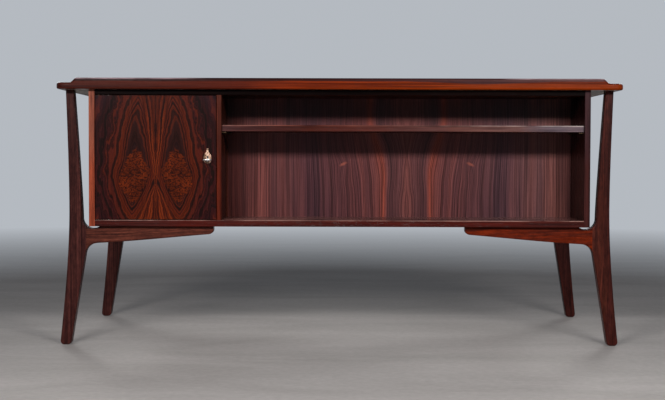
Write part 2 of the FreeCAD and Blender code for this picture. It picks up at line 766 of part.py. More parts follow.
def drawer(front_low_z):
    """One drawer of the right pedestal: its front, its box and its bottom."""
    front_high_z = front_low_z + front_h
    side_low_z = front_low_z + drawer_side_over_front_low
    side_high_z = front_high_z - drawer_side_under_front_high
    bottom_z = side_low_z + drawer_bottom_above
    middle_x = (box_left_x + box_right_x) / 2
    back_y = drawer_rear_y + drawer_back_set_in
    groove_high_z = (side_low_z + side_high_z + runner_h) / 2 + runner_rest_gap
    groove_low_z = groove_high_z - runner_groove_h

    room_left_x = box_left_x + drawer_side_t
    room_right_x = box_right_x - drawer_side_t
    bottom = board(room_left_x - drawer_bottom_bite, room_right_x + drawer_bottom_bite,
                   drawer_rear_y, drawer_joint_y + drawer_bottom_bite, bottom_z, bottom_z + drawer_bottom_t)
    back = board(room_left_x - drawer_back_bite, room_right_x + drawer_back_bite,
                 back_y, back_y + drawer_back_t, bottom_z + drawer_bottom_t, side_high_z)
    front = board(box_left_x, box_right_x, drawer_joint_y, drawer_face_y, front_low_z, front_high_z)
    front = front_eased(front, drawer_face_y).cut(bottom)
    box_sides = []
    for outer_x, inward in ((box_left_x, 1), (box_right_x, -1)):
        inner_x = outer_x + inward * drawer_side_t
        side_board = board(outer_x, inner_x, drawer_rear_y, drawer_joint_y, side_low_z, side_high_z)
        for tail in tails(outer_x, inner_x, side_low_z, side_high_z):
            side_board = side_board.fuse(tail)
            front = front.cut(tail)
        groove = board(outer_x - inward * overrun,
                       outer_x + inward * (runner_proud - drawer_side_gap + runner_groove_spare),
                       drawer_rear_y - overrun, drawer_joint_y, groove_low_z, groove_low_z + runner_groove_h)
        box_sides.append(side_board.cut(groove).cut(bottom).cut(back).removeSplitter())

    grip_z = front_high_z - grip_from_top
    front = front.cut(gouge(Vector(middle_x, drawer_face_y, grip_z), grip_r, grip_sweep_r, 0))
    undercut = Vector(middle_x, drawer_face_y - undercut_in, grip_z + undercut_up)
    front = front.cut(gouge(undercut, undercut_r, undercut_sweep_r, undercut_tilt_deg))
    return front, box_sides + [back], bottom


runners = []
for level_index, level in enumerate(drawer_levels[:drawer_count]):
    low_z = floor_z + drawer_gap + level_index * (front_h + drawer_gap)
    front, box_pieces, bottom = drawer(low_z)
    side_middle_z = low_z + (front_h + drawer_side_over_front_low - drawer_side_under_front_high) / 2
    runner_z = side_middle_z - runner_h / 2
    pair = [board(pedestal_inside_x, pedestal_inside_x + runner_proud, middle_rear_y,
                  runner_front_y, runner_z, runner_z + runner_h),
            board(inside_x - runner_proud, inside_x, middle_rear_y,
                  runner_front_y, runner_z, runner_z + runner_h)]
    for side, sign in sides:
        name = "drawer_" + side + "_" + level
        save(name + "_front", at_side(front, sign))
        save(name + "_box", *[at_side(piece, sign) for piece in box_pieces])
        save(name + "_bottom", at_side(bottom, sign))
        runners += [at_side(strip, sign) for strip in pair]
save("drawer_runners", *runners)
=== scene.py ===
import math

import bpy
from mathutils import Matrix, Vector


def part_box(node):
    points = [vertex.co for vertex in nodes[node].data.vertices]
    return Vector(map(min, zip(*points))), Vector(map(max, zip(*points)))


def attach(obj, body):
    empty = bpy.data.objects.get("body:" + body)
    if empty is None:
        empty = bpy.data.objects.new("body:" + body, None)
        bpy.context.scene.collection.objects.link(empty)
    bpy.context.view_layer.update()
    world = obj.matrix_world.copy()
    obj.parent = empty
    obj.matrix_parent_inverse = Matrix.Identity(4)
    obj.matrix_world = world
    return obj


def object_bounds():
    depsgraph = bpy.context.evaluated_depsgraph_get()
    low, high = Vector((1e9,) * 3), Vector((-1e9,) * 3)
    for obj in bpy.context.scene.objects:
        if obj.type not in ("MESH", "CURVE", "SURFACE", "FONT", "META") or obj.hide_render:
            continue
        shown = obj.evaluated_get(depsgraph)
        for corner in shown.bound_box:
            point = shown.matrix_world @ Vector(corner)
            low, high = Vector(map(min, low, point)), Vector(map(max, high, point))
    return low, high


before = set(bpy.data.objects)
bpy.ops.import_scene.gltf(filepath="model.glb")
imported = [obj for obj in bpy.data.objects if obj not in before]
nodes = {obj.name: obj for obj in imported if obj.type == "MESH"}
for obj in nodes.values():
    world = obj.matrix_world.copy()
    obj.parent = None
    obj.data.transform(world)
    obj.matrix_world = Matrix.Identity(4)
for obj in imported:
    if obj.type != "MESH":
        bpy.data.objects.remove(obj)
cad_low, cad_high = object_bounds()
scene = bpy.context.scene
bpy.ops.object.select_all(action="DESELECT")

# The room
# A pale concrete floor that runs far out on every side and fades into pale studio paper.
# The camera stands low in front of the bookcase side, a little left of the desk's middle.
floor_half = 60.0
floor_near = 2.0
floor_far = 6.0
floor_roughness = 0.7
floor_gloss = 0.2
cloud_tones = ((0.36, (0.375, 0.355, 0.345)), (0.64, (0.475, 0.455, 0.445)))
grit_tones = ((0.3, (0.93, 0.93, 0.93)), (0.7, (1.06, 1.06, 1.06)))
paper = (0.46, 0.49, 0.53)
sky_light = (0.80, 0.86, 1.0)
sky_strength = 0.045
camera_place = (-0.0119, -4.0635, 0.5298)
camera_down_deg = 1.944
camera_roll_deg = -0.151
camera_turn_deg = 0.113
camera_lens = 72.75
main_light = (1.0, 0.97, 0.95)
fill_light = (1.0, 0.98, 0.96)

bpy.ops.mesh.primitive_plane_add(size=2 * floor_half, location=(0, 0, cad_low.z))
floor = bpy.context.object
floor.name = "floor"


def put(tree, value, socket):
    """Link a value that another node gives, or set it as a number or as red, green and blue."""
    if isinstance(value, bpy.types.NodeSocket):
        tree.links.new(value, socket)
    elif isinstance(value, tuple):
        socket.default_value = (*value, 1.0)
    else:
        socket.default_value = value


def new_material(name):
    """An empty node material, its node tree and its surface shader, joined to the output."""
    material = bpy.data.materials.new(name)
    material.use_nodes = True
    tree = material.node_tree
    tree.nodes.clear()
    shader = tree.nodes.new("ShaderNodeBsdfPrincipled")
    output = tree.nodes.new("ShaderNodeOutputMaterial")
    tree.links.new(shader.outputs["BSDF"], output.inputs["Surface"])
    return material, tree, shader


def maths(tree, operation, first, second=0.0, third=0.0):
    """One Math node over numbers or other nodes' values."""
    made = tree.nodes.new("ShaderNodeMath")
    made.operation = operation
    for value, socket in zip((first, second, third), made.inputs):
        put(tree, value, socket)
    return made.outputs[0]


def times(tree, first, second):
    return maths(tree, "MULTIPLY", first, second)


def plus(tree, first, second):
    return maths(tree, "ADD", first, second)


def less(tree, first, second):
    return maths(tree, "SUBTRACT", first, second)


def over(tree, first, second):
    return maths(tree, "DIVIDE", first, second)


def size_of(tree, value):
    """A value without its sign."""
    return maths(tree, "ABSOLUTE", value)


def reach(tree, first, second):
    """How far a point lies from the middle, from its two distances at right angles."""
    return maths(tree, "SQRT", plus(tree, times(tree, first, first), times(tree, second, second)))


def noise(tree, x, y, z, detail=2.0, roughness=0.5, distortion=0.0):
    """Noise over three coordinates that are already scaled, as a value around a half."""
    point = tree.nodes.new("ShaderNodeCombineXYZ")
    for value, socket in zip((x, y, z), point.inputs):
        put(tree, value, socket)
    made = tree.nodes.new("ShaderNodeTexNoise")
    made.inputs["Scale"].default_value = 1.0
    made.inputs["Detail"].default_value = detail
    made.inputs["Roughness"].default_value = roughness
    made.inputs["Distortion"].default_value = distortion
    tree.links.new(point.outputs[0], made.inputs["Vector"])
    return made.outputs["Fac"]


def ramp(tree, value, *stops):
    """A colour ramp through (place, colour) stops."""
    made = tree.nodes.new("ShaderNodeValToRGB")
    elements = made.color_ramp.elements
    while len(elements) > 1:
        elements.remove(elements[-1])
    first_place, first_colour = stops[0]
    elements[0].position = first_place
    elements[0].color = (*first_colour, 1.0)
    for place, colour in stops[1:]:
        elements.new(place).color = (*colour, 1.0)
    tree.links.new(value, made.inputs["Fac"])
    return made.outputs["Color"]


def spread(tree, value, low, high):
    """Stretch a value so that low becomes 0 and high becomes 1, with nothing beyond."""
    made = tree.nodes.new("ShaderNodeMapRange")
    put(tree, value, made.inputs["Value"])
    made.inputs["From Min"].default_value = low
    made.inputs["From Max"].default_value = high
    return made.outputs["Result"]


def mix(tree, kind, share, first, second):
    """Lay one colour over another, in one of Blender's ways of mixing."""
    made = tree.nodes.new("ShaderNodeMix")
    made.data_type = "RGBA"
    made.blend_type = kind
    put(tree, share, made.inputs["Factor"])
    put(tree, first, made.inputs[6])
    put(tree, second, made.inputs[7])
    return made.outputs[2]


def shaded(tree, colour, shade):
    """A colour darkened or lightened by another, channel by channel."""
    return mix(tree, "MULTIPLY", 1.0, colour, shade)


def object_axes(tree):
    """The place on the piece along X, Y and Z, in metres."""
    place = tree.nodes.new("ShaderNodeTexCoord")
    parts = tree.nodes.new("ShaderNodeSeparateXYZ")
    tree.links.new(place.outputs["Object"], parts.inputs[0])
    return parts.outputs[0], parts.outputs[1], parts.outputs[2]


def seen_ray(tree):
    """1 for a ray that shows the background: straight to the camera, mirrored or through glass."""
    rays = tree.nodes.new("ShaderNodeLightPath")
    mirrored = maths(tree, "MAXIMUM", rays.outputs["Is Glossy Ray"], rays.outputs["Is Transmission Ray"])
    return maths(tree, "MAXIMUM", rays.outputs["Is Camera Ray"], mirrored)


concrete, tree, shader = new_material("pale floor")
x, y, z = object_axes(tree)
clouds = noise(tree, times(tree, x, 1.1), times(tree, y, 2.6), 0.0, 6.0, 0.62, 0.6)
grit = noise(tree, times(tree, x, 55.0), times(tree, y, 55.0), 0.0, 3.0, 0.6)
tint = shaded(tree, ramp(tree, clouds, *cloud_tones), ramp(tree, grit, *grit_tones))
put(tree, tint, shader.inputs["Base Color"])
shader.inputs["Roughness"].default_value = floor_roughness
shader.inputs["Specular IOR Level"].default_value = floor_gloss
fade = spread(tree, reach(tree, x, y), floor_near, floor_far)
fade = times(tree, fade, seen_ray(tree))
far_paper = tree.nodes.new("ShaderNodeEmission")
put(tree, paper, far_paper.inputs["Color"])
join = tree.nodes.new("ShaderNodeMixShader")
tree.links.new(fade, join.inputs[0])
tree.links.new(shader.outputs["BSDF"], join.inputs[1])
tree.links.new(far_paper.outputs[0], join.inputs[2])
tree.links.new(join.outputs[0], tree.nodes["Material Output"].inputs["Surface"])
floor.data.materials.append(concrete)

world = bpy.data.worlds.new("studio")
scene.world = world
world.use_nodes = True
tree = world.node_tree
tree.nodes.clear()
seen = tree.nodes.new("ShaderNodeBackground")
lit = tree.nodes.new("ShaderNodeBackground")
pick = tree.nodes.new("ShaderNodeMixShader")
sky_output = tree.nodes.new("ShaderNodeOutputWorld")
put(tree, paper, seen.inputs["Color"])
put(tree, sky_light, lit.inputs["Color"])
put(tree, sky_strength, lit.inputs["Strength"])
tree.links.new(seen_ray(tree), pick.inputs[0])
tree.links.new(lit.outputs[0], pick.inputs[1])
tree.links.new(seen.outputs[0], pick.inputs[2])
tree.links.new(pick.outputs[0], sky_output.inputs["Surface"])

camera_data = bpy.data.cameras.new("camera")
camera_data.lens = camera_lens
camera = bpy.data.objects.new("camera", camera_data)
camera.location = camera_place
camera.rotation_euler = (math.radians(90 - camera_down_deg), math.radians(camera_roll_deg),
                         math.radians(camera_turn_deg))
scene.collection.objects.link(camera)
scene.camera = camera
scene.view_settings.view_transform = "Standard"


def softbox(name, place, aim, width, height, power, colour, spread_deg=180.0):
    """A rectangular studio lamp that faces a point."""
    data = bpy.data.lights.new(name, "AREA")
    data.shape = "RECTANGLE"
    data.size = width
    data.size_y = height
    data.energy = power
    data.spread = math.radians(spread_deg)
    data.color = colour
    lamp = bpy.data.objects.new(name, data)
    lamp.location = place
    lamp.rotation_euler = (Vector(aim) - Vector(place)).to_track_quat("-Z", "Y").to_euler()
    scene.collection.objects.link(lamp)


softbox("left softbox", place=(-1.20, -3.50, 1.60), aim=(-0.2, 0.0, 0.45),
        width=0.90, height=0.30, power=67, colour=main_light)
softbox("right softbox", place=(1.22, -3.10, 1.50), aim=(0.2, 0.0, 0.45),
        width=0.90, height=0.30, power=55, colour=main_light)
softbox("overhead softbox", place=(0.0, -0.2, 3.2), aim=(0.0, -0.2, 0.0),
        width=2.4, height=1.6, power=6, colour=fill_light)
for side, way in (("left", -1), ("right", 1)):
    softbox("rear " + side + " softbox", place=(way * 1.5, 3.1, 1.9), aim=(way * 0.35, 0.39, 0.58),
            width=1.3, height=0.5, power=1.4, colour=fill_light, spread_deg=30.0)

# The top
# A core board veneered along its length, with solid wood glued round its edges.
# Along the bookcase side the solid wood rises over a small cove into a lip with ogee ends.
board_low, board_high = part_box("top_board")
lip_low, lip_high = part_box("top_gallery_lipping")
heart_dark = (0.016, 0.005, 0.004)
heart_brown = (0.060, 0.013, 0.007)
heart_light = (0.120, 0.030, 0.010)
ink = (0.0075, 0.0028, 0.0022)
hair_tones = ((0.36, (0.62, 0.58, 0.60)), (0.62, (1.30, 1.25, 1.20)))
fibre_tones = ((0.35, (0.78, 0.76, 0.76)), (0.65, (1.18, 1.15, 1.12)))
mottle_tones = ((0.36, (0.66, 0.64, 0.68)), (0.64, (1.38, 1.36, 1.26)))
pore_shade = (0.25, 0.2, 0.2)
relief_depth = 0.0003
log_wobble = 0.012


def swing(tree, wave, width):
    """Noise made to swing either side of nothing, over a width."""
    return times(tree, less(tree, wave, 0.5), width)


def shaken(tree, value, wave, width):
    """A value that noise moves to and fro over a width."""
    return maths(tree, "MULTIPLY_ADD", less(tree, wave, 0.5), width, value)


def log_rings(tree, along, across, depth, heart, taper, seed):
    """Distance from the heart of the log that a board was cut from: rings run as cathedrals
    where the cut comes near the heart, and as straight lines away from it."""
    sway = noise(tree, times(tree, along, 2.6), seed, times(tree, across, 1.5))
    sway = swing(tree, sway, log_wobble)
    lift = maths(tree, "MULTIPLY_ADD", along, taper, heart)
    lift = plus(tree, plus(tree, lift, depth), sway)
    waver = noise(tree, times(tree, along, 7.0), times(tree, across, 30.0), seed)
    return shaken(tree, reach(tree, across, lift), waver, log_wobble / 4)


def grain_lines(tree, colour, rings, along, seed, strength=0.8, pitch=130.0):
    """Draw the thin dark growth rings over a colour, wide ones and hair lines."""
    wide = noise(tree, times(tree, rings, pitch), times(tree, along, 1.1), seed + 3.7, 3.0, 0.6)
    hair = noise(tree, times(tree, rings, 360.0), times(tree, along, 1.6), seed + 8.1, 2.0, 0.6)
    colour = shaded(tree, colour, ramp(tree, hair, *hair_tones))
    colour = mix(tree, "MIX", times(tree, spread(tree, wide, 0.48, 0.41), strength), colour, ink)
    return mix(tree, "MIX", times(tree, spread(tree, hair, 0.42, 0.36), strength * 0.8), colour, ink)


def figure(tree, rings, along, seed, dark, body, light, lines):
    """Rosewood's dark, brown and light zones along the rings, with the growth lines over them."""
    zones = noise(tree, times(tree, rings, 26.0), times(tree, along, 0.7), seed, 4.0, 0.62)
    colour = ramp(tree, zones, (0.34, dark), (0.47, body), (0.60, light), (0.74, body))
    return grain_lines(tree, colour, rings, along, seed, lines)


def relief(tree, shader, height, strength):
    """Raise and sink the surface a little by a pattern."""
    bump = tree.nodes.new("ShaderNodeBump")
    bump.inputs["Strength"].default_value = strength
    bump.inputs["Distance"].default_value = relief_depth
    tree.links.new(height, bump.inputs["Height"])
    tree.links.new(bump.outputs[0], shader.inputs["Normal"])


def finish_wood(tree, shader, colour, along, across, depth, roughness, gloss):
    """Fibres and open pores over a wood's colour, with a satin oiled surface that they break up."""
    fibre = noise(tree, times(tree, across, 900.0), times(tree, along, 9.0), times(tree, depth, 900.0),
                  2.0, 0.6)
    pores = noise(tree, times(tree, across, 1500.0), times(tree, along, 55.0), times(tree, depth, 1500.0),
                  1.0)
    holes = spread(tree, pores, 0.36, 0.30)
    colour = shaded(tree, colour, ramp(tree, fibre, *fibre_tones))
    colour = mix(tree, "MULTIPLY", times(tree, holes, 0.5), colour, pore_shade)
    put(tree, colour, shader.inputs["Base Color"])
    satin = maths(tree, "MULTIPLY_ADD", fibre, 0.16, roughness - 0.08)
    put(tree, maths(tree, "MULTIPLY_ADD", holes, 0.2, satin), shader.inputs["Roughness"])
    shader.inputs["Specular IOR Level"].default_value = gloss
    relief(tree, shader, less(tree, fibre, holes), strength=0.35)


def rosewood(name, grain, across, leaf=0.0, centre=0.0, heart=0.05, taper=0.04, seed=1.0,
             dark=heart_dark, body=heart_brown, light=heart_light, roughness=0.27, gloss=0.06,
             lines=0.8, edge=None):
    """Rosewood with its grain along one axis, solid, or veneer in mirrored leaves of one width.
    An edge is a function that paints the solid lipping over the veneer."""
    material, tree, shader = new_material(name)
    axes = dict(zip("XYZ", object_axes(tree)))
    third = (set("XYZ") - {grain, across}).pop()
    along, sideways, depth = axes[grain], axes[across], axes[third]
    sideways = less(tree, sideways, centre)
    if leaf:
        sideways = less(tree, maths(tree, "PINGPONG", sideways, leaf), leaf * 0.45)
    rings = log_rings(tree, along, sideways, depth, heart, taper, seed)
    colour = figure(tree, rings, along, seed, dark, body, light, lines)
    mottle = noise(tree, times(tree, along, 45.0), times(tree, sideways, 160.0),
                   times(tree, depth, 160.0), 4.0, 0.7)
    colour = shaded(tree, colour, ramp(tree, mottle, *mottle_tones))
    if edge:
        colour = edge(tree, colour, axes, grain)
    finish_wood(tree, shader, colour, along, sideways, depth, roughness, gloss)
    return material


def dress(material, *names):
    """Give CAD nodes their finish."""
    for name in names:
        held = nodes[name].data.materials
        held.clear()
        held.append(material)


top_leaf = (board_high.y - board_low.y) / 4
top_heart_aside = 0.08
top_heart_z = 0.71
backing_t = 0.0015
backing_blend = 0.0005
backing_tones = ((0.35, (0.42, 0.36, 0.30)), (0.65, (0.62, 0.55, 0.47)))
top_veneer, tree, shader = new_material("top veneer")
x, y, z = object_axes(tree)
sideways = less(tree, maths(tree, "PINGPONG", y, top_leaf), top_heart_aside)
rings = log_rings(tree, x, sideways, less(tree, z, top_heart_z), heart=0.024, taper=0.022, seed=2.0)
colour = figure(tree, rings, x, 2.0, heart_dark, heart_brown, heart_light, lines=0.8)
backing = noise(tree, times(tree, x, 4.0), times(tree, y, 160.0), 2.0, 3.0)
backing_top = board_low.z + backing_t
underneath = spread(tree, z, backing_top, backing_top - backing_blend)
colour = mix(tree, "MIX", underneath, colour, ramp(tree, backing, *backing_tones))
finish_wood(tree, shader, colour, x, y, z, roughness=0.42, gloss=0.05)

seam_z = lip_low.z + 0.022
seam_waver = 0.006
seam_blur = 0.0012
dip_x = 0.385
dip_half = 0.20
dip_floor_half = 0.02
dip_depth = 0.007
drift_w = 0.35
lower_span_x = (-0.70, 0.30)
upper_span_x = (-0.70, 0.50)
tip_x = lip_high.x - 0.038
tip_blend = 0.010
# The lip's top arris is painted pale at both ends: a painted highlight where the two front lamps glint in
# it.
glint_z = lip_high.z - 0.0044
glint_blend = 0.0014
glint_left = (-0.34, -0.44)
glint_right = (0.44, 0.52)
glint_share = 0.85
glint_colour = (0.40, 0.28, 0.31)
lower_tones = ((0.0, (0.056, 0.012, 0.008)), (0.42, (0.075, 0.010, 0.004)),
               (0.62, (0.185, 0.023, 0.004)), (1.0, (0.180, 0.024, 0.002)))
upper_tones = ((0.0, (0.022, 0.006, 0.006)), (0.5, (0.022, 0.005, 0.004)),
               (0.8, (0.050, 0.017, 0.018)), (1.0, (0.066, 0.024, 0.024)))
edge_streaks = ((0.36, (0.50, 0.42, 0.45)), (0.50, (1.0, 1.0, 1.0)), (0.64, (1.25, 1.2, 1.1)))
edge_wood, tree, shader = new_material("top edging wood")
x, y, z = object_axes(tree)
dip = spread(tree, size_of(tree, less(tree, x, dip_x)), dip_half, dip_floor_half)
dip = maths(tree, "SMOOTH_MIN", dip, 1.0, 0.3)
seam = shaken(tree, seam_z, noise(tree, times(tree, x, 5.0), 4.0, 1.0, 2.0), seam_waver)
seam = less(tree, seam, times(tree, dip, dip_depth))
drift = noise(tree, times(tree, x, 2.6), 7.0, times(tree, z, 30.0), 3.0)
drift = plus(tree, x, swing(tree, drift, drift_w))
lower = ramp(tree, spread(tree, drift, *lower_span_x), *lower_tones)
upper = ramp(tree, spread(tree, drift, *upper_span_x), *upper_tones)
band = noise(tree, times(tree, x, 2.0), times(tree, y, 60.0), times(tree, z, 150.0), 4.0, 0.6)
tipward = spread(tree, size_of(tree, x), tip_x, tip_x + tip_blend)
split = spread(tree, less(tree, z, seam), -seam_blur, seam_blur)
split = times(tree, split, less(tree, 1.0, tipward))
colour = shaded(tree, mix(tree, "MIX", split, lower, upper), ramp(tree, band, *edge_streaks))
# Painted highlight: a pale streaky line along the lip's top arris, over two spans toward the ends.
painted_glint = noise(tree, times(tree, x, 6.0), 3.0, times(tree, z, 60.0), 4.0, 0.65)
painted_glint = times(tree, spread(tree, painted_glint, 0.36, 0.58), spread(tree, z, glint_z, glint_z + glint_blend))
glint_span = maths(tree, "MAXIMUM", spread(tree, x, *glint_left), spread(tree, x, *glint_right))
painted_glint = times(tree, times(tree, painted_glint, glint_span), glint_share)
colour = mix(tree, "MIX", painted_glint, colour, glint_colour)
finish_wood(tree, shader, colour, x, z, y, roughness=0.27, gloss=0.045)

end_wood = rosewood("top end edging wood", "Y", "Z", centre=0.70, heart=0.06, taper=0.02, seed=6.0,
                    body=(0.080, 0.014, 0.005), light=(0.18, 0.035, 0.007), roughness=0.36)
dress(top_veneer, "top_board")
dress(edge_wood, "top_gallery_lipping", "top_edging_sitter")
dress(end_wood, "top_edging_left", "top_edging_right")

# The frame
# Four solid rosewood legs, each shaped with its curved arm and joined to it with a tenon.
# The arms are screwed up into the carcass, and the legs' heads are dowelled into the top.
leg_dark = (0.028, 0.008, 0.008)
arm_dark = (0.034, 0.008, 0.006)
# The left and right copies are toned apart as painted light: the left legs and arms are painted greyer and
# more violet as a painted sheen, the right ones redder and more orange.
leg_tones = {"left": ((0.048, 0.015, 0.014), (0.070, 0.022, 0.020)),
             "right": ((0.048, 0.011, 0.009), (0.092, 0.023, 0.014))}
arm_tones = {"left": ((0.056, 0.015, 0.011), (0.088, 0.026, 0.018)),
             "right": ((0.110, 0.012, 0.002), (0.175, 0.020, 0.003))}
for side in ("left", "right"):
    leg_body, leg_light = leg_tones[side]
    arm_body, arm_light = arm_tones[side]
    leg_wood = rosewood(side + " leg wood", "Z", "X", centre=0.60, heart=0.10, taper=0.02, seed=8.0,
                        dark=leg_dark, body=leg_body, light=leg_light, lines=0.35)
    arm_wood = rosewood(side + " arm wood", "X", "Z", centre=0.20, heart=0.10, taper=0.02, seed=9.0,
                        dark=arm_dark, body=arm_body, light=arm_light, lines=0.25)
    for end in ("front", "rear"):
        dress(leg_wood, "leg_" + end + "_" + side)
        dress(arm_wood, "arm_" + end + "_" + side)

# The carcass
# Veneered boards, glued together, with solid rosewood lipping on the edges toward the bookcase side.
# The lipping changes from red to violet along its length, and on the bookcase bottom and shelf its upper
# arris is painted pale: a painted highlight.
carcass_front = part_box("side_panel_left")[0].y
lipping_t = 0.0016
lipping_blend = 0.0006
arris_w = 0.0026
arris_blend = 0.0010
arris_share = 0.85
arris_highlight = (0.34, 0.19, 0.16)
tone_span_x = (-0.33, 0.67)
vein_tones = ((0.36, (0.55, 0.50, 0.52)), (0.60, (1.25, 1.2, 1.15)))
drift_tones = ((0.40, (0.85, 1.12, 1.25)), (0.58, (1.15, 0.80, 0.62)))


def lipping(board, wood, worn=False, tones=None):
    """A painter for the lipping on a board's front edge, toned along X; worn adds a painted highlight, a
    pale line along the upper arris.
    """
    low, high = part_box(board)

    def paint(tree, colour, axes, grain):
        upright = "X" if grain == "Z" else "Z"
        vein = noise(tree, times(tree, axes[grain], 5.0), times(tree, axes[upright], 110.0), 3.3, 3.0, 0.6)
        drift = noise(tree, times(tree, axes[grain], 3.0), 2.2, 6.1, 2.0)
        lip = shaded(tree, wood, ramp(tree, vein, *vein_tones))
        lip = shaded(tree, lip, ramp(tree, drift, *drift_tones))
        pale = arris_highlight
        if tones:
            tone = ramp(tree, spread(tree, axes["X"], *tone_span_x), *tones)
            lip = shaded(tree, lip, tone)
            pale = shaded(tree, pale, tone)
        in_front = spread(tree, axes["Y"], low.y + lipping_t, low.y + lipping_t - lipping_blend)
        colour = mix(tree, "MIX", in_front, colour, lip)
        if not worn:
            return colour
        # Painted highlight: a pale streaky line along the lipping's upper arris.
        painted_glint = noise(tree, times(tree, axes["X"], 9.0), 5.5, times(tree, axes["Z"], 40.0), 4.0, 0.65)
        on_top = spread(tree, axes["Z"], high.z - arris_w, high.z - arris_w + arris_blend)
        painted_glint = times(tree, spread(tree, painted_glint, 0.34, 0.60), on_top)
        painted_glint = times(tree, painted_glint, spread(tree, axes["Y"], low.y + arris_w, low.y + arris_w - arris_blend))
        return mix(tree, "MIX", times(tree, painted_glint, arris_share), colour, pale)

    return paint


# Lit and shaded copies of one veneer: the left panel's front lipping is painted bright orange as painted
# light, and the right panel's veneer and lipping are painted very dark as painted shade.
left_end = rosewood("left end veneer", "Z", "Y", leaf=0.19, centre=carcass_front, heart=0.012, taper=0.022,
                    seed=11.0, edge=lipping("side_panel_left", (0.255, 0.078, 0.048)))
right_end = rosewood("right end veneer", "Z", "Y", leaf=0.19, centre=carcass_front, heart=0.012, taper=0.022,
                     seed=11.0, dark=(0.005, 0.001, 0.001), body=(0.013, 0.003, 0.003),
                     light=(0.028, 0.006, 0.004), edge=lipping("side_panel_right", (0.035, 0.014, 0.017)))
partition_wood = rosewood("partition veneer", "Z", "Y", leaf=0.20, centre=carcass_front, heart=0.02,
                          taper=0.02, seed=12.0, edge=lipping("cabinet_partition", (0.074, 0.016, 0.009)))
board_veneer = rosewood("carcass board veneer", "X", "Y", leaf=0.20, heart=0.024, taper=0.015, seed=14.0)
# The carcass top's front lipping is painted near black: painted shadow of the table top's overhang.
ceiling_wood = rosewood("carcass top veneer", "X", "Y", leaf=0.20, heart=0.024, taper=0.015, seed=14.0,
                        gloss=0.02, edge=lipping("bookcase_top", (0.003, 0.001, 0.001)))
# The bookcase bottom's pale pinkish-grey colours are painted reflection: the sheen its top face shows when
# seen at a grazing angle.
bottom_wood = rosewood("bookcase bottom veneer", "X", "Y", leaf=0.20, heart=0.024, taper=0.015, seed=14.0,
                       dark=(0.120, 0.052, 0.052), body=(0.190, 0.088, 0.086), light=(0.25, 0.12, 0.11),
                       roughness=0.22, gloss=0.12,
                       edge=lipping("bookcase_bottom", (0.050, 0.007, 0.005), worn=True))
dress(left_end, "side_panel_left", "knee_panel_left")
dress(right_end, "side_panel_right", "knee_panel_right")
dress(partition_wood, "cabinet_partition")
dress(bottom_wood, "bookcase_bottom")
dress(ceiling_wood, "bookcase_top")
for side in ("left", "right"):
    dress(board_veneer, "pedestal_bottom_" + side, "pedestal_top_" + side)

# The bookcase back
# A panel that closes the bookcase and the knee space behind it, veneered upright in two mirrored halves.
# Pin knots stand either side of the match, where the log grew twigs.
back_match = 0.197
sway_far = 0.012
sway_near = 0.075
sway_reach = 0.30
knot_aside = 0.185
knot_z = 0.502
knot_half_w = 0.038
knot_half_h = 0.060
knot_push = 0.016
lean_w = 0.036
lean_in = (0.0, 0.09)
lean_out = (0.30, 0.15)
lean_foot_z = 0.40
lean_head_z = 0.62
half_w = 0.55
half_waver = 0.03
pip_half_w = 0.010
pip_half_h = 0.0045
pip_slope = 0.4
pip_ragged = 0.9
pip_share = 0.6
pip_colour = (0.36, 0.10, 0.07)
sheen_from_x = 0.30
sheen_to_x = 0.62
painted_sheen_tone = (1.12, 1.36, 1.34)
# Besides the wood's own tone, the back's colours are greyed and lightened by a painted sheen, the haze of
# the lamps' reflection.
back_zones = ((0.34, (0.064, 0.029, 0.034)), (0.47, (0.116, 0.042, 0.044)),
              (0.58, (0.162, 0.054, 0.050)), (0.68, (0.112, 0.041, 0.043)))
# The last stops darken the back toward its ends, next to the partition: painted shadow of the partition.
half_tones = ((0.03, (0.95, 0.98, 1.0)), (0.105, (1.0, 0.95, 0.95)), (0.125, (1.70, 1.20, 0.90)),
              (0.15, (1.0, 0.92, 0.92)), (0.36, (0.62, 0.66, 0.80)), (0.54, (0.60, 0.64, 0.78)),
              (0.62, (0.92, 0.92, 0.95)), (0.80, (1.05, 0.98, 0.95)), (0.96, (0.60, 0.45, 0.40)))
back_veneer, tree, shader = new_material("bookcase back veneer")
x, y, z = object_axes(tree)
aside = size_of(tree, less(tree, x, back_match))
from_knot = less(tree, aside, knot_aside)
above_knot = less(tree, z, knot_z)

sway = noise(tree, times(tree, z, 3.2), 13.0, times(tree, aside, 4.5), 2.0)
bend = plus(tree, sway_far, times(tree, spread(tree, aside, sway_reach, 0.0), sway_near))
rings = plus(tree, aside, swing(tree, sway, bend))
knot = reach(tree, over(tree, from_knot, knot_half_w), over(tree, above_knot, knot_half_h))
swirl = maths(tree, "POWER", spread(tree, knot, 1.0, 0.0), 1.6)
rings = plus(tree, rings, times(tree, swirl, knot_push))
lean = times(tree, spread(tree, aside, *lean_in), spread(tree, aside, *lean_out))
lift = maths(tree, "POWER", spread(tree, z, lean_foot_z, lean_head_z), 1.5)
rings = less(tree, rings, times(tree, times(tree, lean, lean_w), lift))

zones = noise(tree, times(tree, rings, 14.0), times(tree, z, 0.5), 13.0, 3.0, 0.55)
colour = ramp(tree, zones, *back_zones)
uneven = noise(tree, times(tree, z, 2.0), 5.0, times(tree, aside, 8.0), 3.0)
breadth = over(tree, plus(tree, rings, swing(tree, uneven, half_waver)), half_w)
colour = shaded(tree, colour, ramp(tree, breadth, *half_tones))
# Painted sheen: the back is lighter and greyer toward the right.
colour = mix(tree, "MULTIPLY", spread(tree, x, sheen_from_x, sheen_to_x), colour, painted_sheen_tone)
colour = grain_lines(tree, colour, rings, z, seed=13.0, strength=0.34, pitch=260.0)

